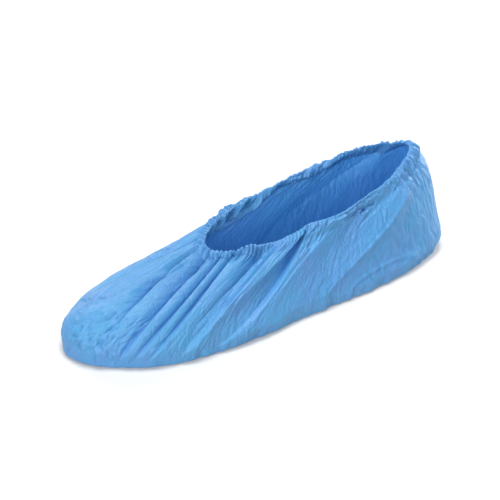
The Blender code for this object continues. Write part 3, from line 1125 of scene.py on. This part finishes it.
# %% Any other node
class Finish:
    """A material that is being built, node by node."""

    def __init__(self, name):
        self.material = bpy.data.materials.new(name)
        self.material.use_nodes = True
        self.tree = self.material.node_tree
        self.tree.nodes.clear()

    def add(self, kind, settings, sockets):
        """A node of this kind, as the wire of its first output. Its settings come first,
        then the values or links of its sockets, by name or number."""
        node = self.tree.nodes.new("ShaderNode" + kind)
        for name, value in settings.items():
            setattr(node, name, value)
        for key, value in sockets.items():
            if isinstance(key, int):
                slot = node.inputs[key]
            else:
                slot = next(s for s in node.inputs if s.name == key and s.enabled)
            plug(self.tree, slot, value)
        shown = [output for output in node.outputs if output.enabled]
        return Wire(self.tree, shown[0]) if shown else None

    def fade(self, value, low, high):
        """0 where the value is below low, 1 where it is above high, smooth between."""
        ends = {"Value": value, "From Min": low, "From Max": high}
        return self.add("MapRange", {"interpolation_type": "SMOOTHSTEP"}, ends)

    def noise(self, place, scale, detail):
        sockets = {"Vector": place, "Scale": scale, "Detail": detail}
        return self.add("TexNoise", {}, sockets)

    def vector(self, operation, first, second):
        return self.add("VectorMath", {"operation": operation}, {0: first, 1: second})

    def blend(self, share, first, second):
        """The first colour where the share is 0, and the second where it is 1."""
        sockets = {"Factor": share, "A": first, "B": second}
        return self.add("Mix", {"data_type": "RGBA"}, sockets)

    def bump(self, height):
        """The normal of a surface that is lifted by this height, in metres."""
        return self.add("Bump", {}, {"Strength": 1.0, "Distance": 1.0, "Height": height})

    def end(self, shader):
        self.add("OutputMaterial", {}, {"Surface": shader})
        print(f"{self.material.name}: {len(self.tree.nodes)} nodes")
        return self.material


# %% [markdown]
# ### Blue film
# The film is polyethylene, coloured through, with a satin skin and a fine pressed
# texture. Light that falls on it is partly sent back and partly let through, so the
# shader is a Principled one mixed with a little Translucent. A picture of film could be
# wrapped round the mesh, but patterns fixed in space need no unwrapping, and no seam
# shows. There are four: a slow drift between a greener and a more violet blue, upright
# streaks where the film has been crushed, a net of hair-thin creases in patches, and the
# fine pressed grain. The drift goes to the colour. Over it goes a deeper blue in the
# marked valleys, partly for film lying double and partly as painted shade, and on the
# marked banks over the toe as painted shade. The other three go to a Bump node.

# %% Blues and patterns
FILM_BLUES = ((0.064, 0.303, 0.550, 1.0), (0.100, 0.275, 0.575, 1.0))
HEM_BLUES = ((0.058, 0.281, 0.545, 1.0), (0.092, 0.257, 0.575, 1.0))
THROUGH_BLUE = (0.040, 0.215, 0.700, 1.0)
# painted shade in the marked valleys and banks; in the valleys it is also the deeper blue
# of film lying double
SHADE_AND_DOUBLING_BLUE = (0.020, 0.128, 0.430, 1.0)
SHADE_AND_DOUBLING_SHARE = 0.66
FILM_GLOW, HEM_GLOW = 0.16, 0.14
SATIN = 0.48
# each noise has a scale and a detail
SLOW_DRIFT = (28.0, 3.0)
QUICK_DRIFT = (160.0, 2.0)
SLOW_SHARE, QUICK_SHARE, DRIFT_LOW = 1.6, 0.9, 0.75
UPRIGHT = (1.0, 1.0, 0.30)
STREAKS = (330.0, 2.0)
STREAK_DEPTH = 0.00045
SWIRLS = (90.0, 1.0)
SWIRL_REACH = (0.008, 0.008, 0.008)
NETS = (
    # cells in a metre, scale and detail of the patches, strength
    (150.0, (53.0, 1.0), 1.0),
    (310.0, (69.0, 1.0), 0.6),
)
NET_LINE = 0.13
NET_PATCHES = (0.42, 0.60)
NET_DEPTH = 0.00022
GRAIN = (1100.0, 1.0)
GRAIN_HEIGHT = 0.00025


# %% The film's shader
def film_finish(name, blues, light_through):
    finish = Finish(name)
    place = finish.add("TexCoord", {}, {}).other("Object")
    slow, quick = finish.noise(place, *SLOW_DRIFT), finish.noise(place, *QUICK_DRIFT)
    drift = slow * SLOW_SHARE + quick * QUICK_SHARE - DRIFT_LOW
    colour = finish.blend(drift, *blues)
    # the marked places turn a deeper blue: painted shade, and in the valleys also film
    # lying double
    shade_and_doubling_mask = finish.add("Attribute", {"attribute_name": "shade_and_doubling"}, {}).other("Fac")
    colour = finish.blend(shade_and_doubling_mask * SHADE_AND_DOUBLING_SHARE, colour, SHADE_AND_DOUBLING_BLUE)

    upright = finish.vector("MULTIPLY", place, UPRIGHT)
    streaks = abs(finish.noise(upright, *STREAKS) - 0.5)
    swirl = finish.noise(place, *SWIRLS).other("Color")
    crushed = finish.vector("ADD", upright, finish.vector("MULTIPLY", swirl, SWIRL_REACH))
    net = 0
    for scale, patches, share in NETS:
        sockets = {"Vector": crushed, "Scale": scale}
        to_edge = finish.add("TexVoronoi", {"feature": "DISTANCE_TO_EDGE"}, sockets)
        patch = finish.fade(finish.noise(place, *patches), *NET_PATCHES)
        net = (1 - finish.fade(to_edge, 0.0, NET_LINE)) * patch * share + net
    height = streaks * -STREAK_DEPTH - net * NET_DEPTH
    normal = finish.bump(height + finish.noise(place, *GRAIN) * GRAIN_HEIGHT)

    sockets = {"Base Color": colour, "Roughness": SATIN, "Normal": normal}
    skin = finish.add("BsdfPrincipled", {}, sockets)
    glow = finish.add("BsdfTranslucent", {}, {"Color": THROUGH_BLUE, "Normal": normal})
    return finish.end(finish.add("MixShader", {}, {0: light_through, 1: skin, 2: glow}))


film.data.materials.append(film_finish("blue_film", FILM_BLUES, FILM_GLOW))
hem.data.materials.append(film_finish("blue_hem", HEM_BLUES, HEM_GLOW))

# %% [markdown]
# ### Elastic
# Elastic of this kind is off-white rubber thread in a loose wrap. A woven pattern could
# be drawn, but the band is hidden, so a dull pale skin with a fine bump is enough.

# %% The elastic's shader
OFF_WHITE = (0.72, 0.73, 0.71, 1.0)
THREADS = (900.0, 2.0)
THREAD_HEIGHT = 0.0002

rubber = Finish("white_elastic")
place = rubber.add("TexCoord", {}, {}).other("Object")
normal = rubber.bump(rubber.noise(place, *THREADS) * THREAD_HEIGHT)
sockets = {"Base Color": OFF_WHITE, "Roughness": 0.7, "Normal": normal}
elastic.data.materials.append(rubber.end(rubber.add("BsdfPrincipled", {}, sockets)))

# %% [markdown]
# ## Floor, light and camera
# The cover stands on a white table top in a small studio. A sky alone would light every
# bank of a fold alike and hide the folds, so it is kept weak, and five round soft lamps
# do the work: overhead, off the toe, by the near side, behind the heel, where the
# strongest stands, and by the far side. The table glows faintly by itself, which keeps
# the shadow on it a soft grey edge.

# %% Floor
FLOOR_SIZE = 6.0
FLOOR_GAP = 0.0002
TABLE_TOP = {
    "Base Color": (0.55, 0.55, 0.545, 1.0),
    "Roughness": 0.9,
    "Emission Color": (1.0, 0.99, 0.98, 1.0),
    "Emission Strength": 0.15,
}

bpy.ops.mesh.primitive_plane_add(size=FLOOR_SIZE, location=(0, 0, -WALL - FLOOR_GAP))
floor = bpy.context.object
floor.name = "floor"
white = Finish("table_top")
floor.data.materials.append(white.end(white.add("BsdfPrincipled", {}, TABLE_TOP)))
floor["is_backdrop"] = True

# %% Lamps
LAMPS = (
    # name, azimuth, elevation, distance in m, size in m, power in W
    ("top", 0, 87, 2.0, 1.0, 43),
    ("toe_side", 288, 13, 2.5, 1.2, 29),
    ("near_side", 330, 26, 2.5, 1.2, 28),
    ("heel_side", 98, 13, 2.5, 1.2, 63),
    ("far_side", 180, 25, 2.5, 1.2, 31),
)


def from_angles(azimuth, elevation):
    """A direction: azimuth 0 is in front of the -Y side, and 90 is behind the heel."""
    a, e = math.radians(azimuth), math.radians(elevation)
    return Vector((math.sin(a) * math.cos(e), -math.cos(a) * math.cos(e), math.sin(e)))


def stand(name, data, direction, distance, aim=Vector()):
    """A lamp or camera this far from its aim, looking back at it."""
    thing = bpy.data.objects.new(name, data)
    thing.location = aim + direction * distance
    thing.rotation_mode = "QUATERNION"
    thing.rotation_quaternion = direction.to_track_quat("Z", "Y")
    bpy.context.scene.collection.objects.link(thing)
    return thing


for name, azimuth, elevation, distance, size, power in LAMPS:
    lamp_data = bpy.data.lights.new(name, "AREA")
    lamp_data.shape = "DISK"
    lamp_data.size = size
    lamp_data.energy = power
    stand(name, lamp_data, from_angles(azimuth, elevation), distance)
print(f"{len(LAMPS)} lamps, {sum(lamp[-1] for lamp in LAMPS)} W together")

# %% Sky
SKY_STRENGTH = 0.12

world = bpy.data.worlds.new("studio")
world.use_nodes = True
sky = world.node_tree.nodes["Background"]
sky.inputs["Color"].default_value = (1.0, 1.0, 1.0, 1.0)
sky.inputs["Strength"].default_value = SKY_STRENGTH
bpy.context.scene.world = world
bpy.context.scene.view_settings.view_transform = "Standard"

# %% Camera
CAMERA_AZIMUTH = -36.5
CAMERA_ELEVATION = 29.1
CAMERA_DISTANCE = 1.6
AIM = Vector((0.0, 0.0, 0.039))

camera_data = bpy.data.cameras.new("camera")
camera_data.lens = 152.3
camera_data.sensor_width = 36.0
camera_data.shift_x = -0.0117
camera_data.shift_y = -0.0053
back = from_angles(CAMERA_AZIMUTH, CAMERA_ELEVATION)
bpy.context.scene.camera = stand("camera", camera_data, back, CAMERA_DISTANCE, AIM)
print(f"camera {CAMERA_DISTANCE} m from the cover, {CAMERA_ELEVATION} degrees up")

# %% [markdown]
# ## The size, once more
# Folds and puffs can carry a model away from its frame unnoticed, so the dressed cover's
# box is written down beside the frame's own.

# %% The two boxes, for comparison
visual_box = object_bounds()
for name, box in (("frame", cad_box), ("dressed", visual_box)):
    print(name, [round((b - a) / MM, 1) for a, b in zip(*box)], "mm")
